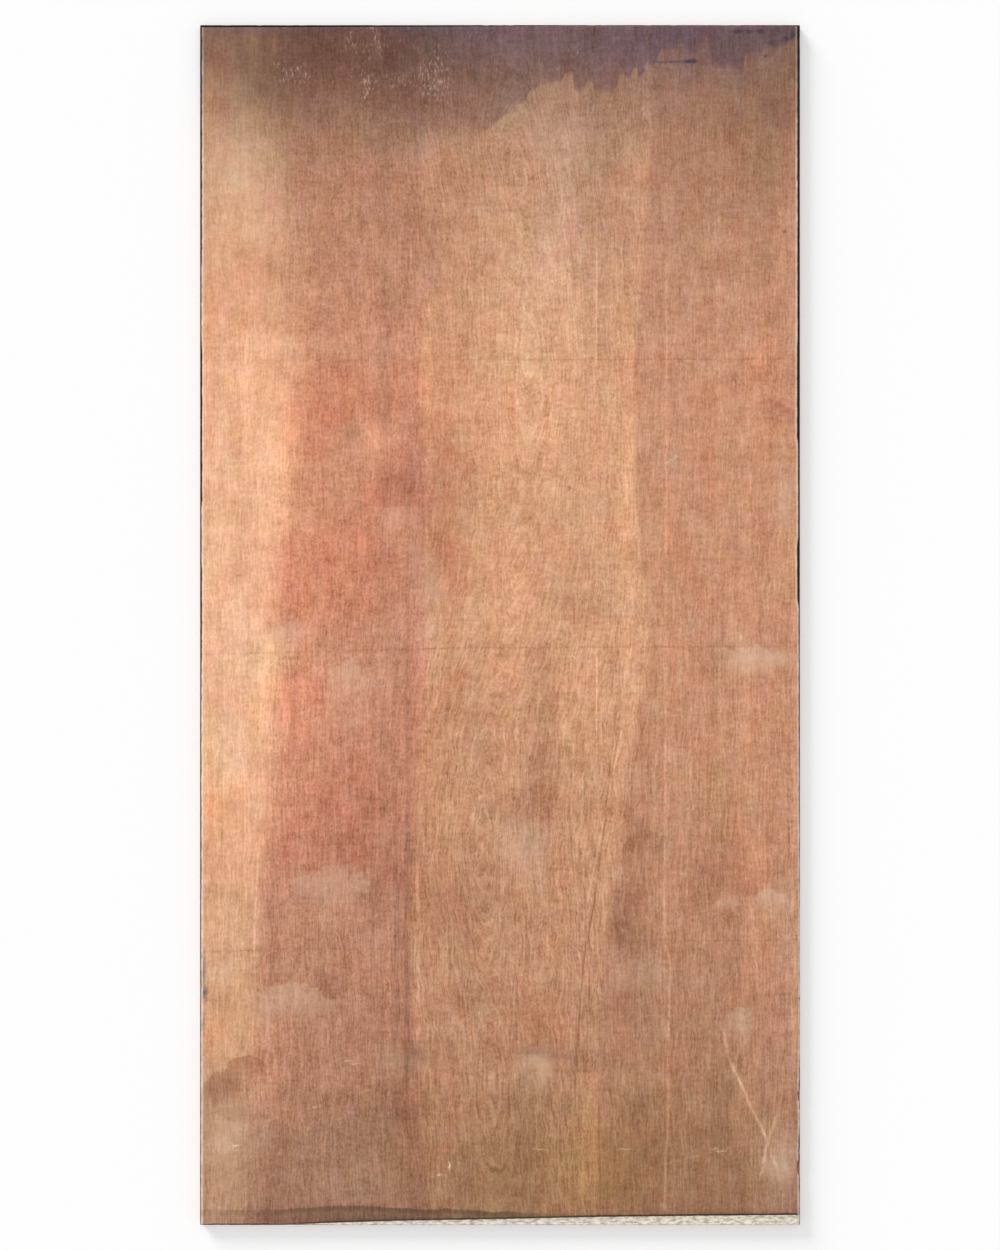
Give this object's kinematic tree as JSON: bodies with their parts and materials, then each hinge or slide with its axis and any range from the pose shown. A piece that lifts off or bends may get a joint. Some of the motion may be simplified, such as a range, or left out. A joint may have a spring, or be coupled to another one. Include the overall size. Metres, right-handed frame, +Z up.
{
  "type": "plywood sheet",
  "caption": "Full-size hardwood-faced plywood sheet, lying flat, with a laminated sawn edge, a weathered and stained face and splinters torn from one long edge.",
  "frame": {"origin": "middle of the underside, on the surface that the sheet lies on", "axes": "+X across the width, +Y along the length and the grain of the face, towards the stained end, +Z up out of the better face"},
  "size_m": [1.22, 2.44, 0.018],
  "materials": {
    "plywood": "sanded, bare, weathered rotary-cut hardwood face over a laminated sawn edge"
  },
  "bodies": {
    "root": {"plywood_sheet": "plywood"}
  },
  "joints": []
}
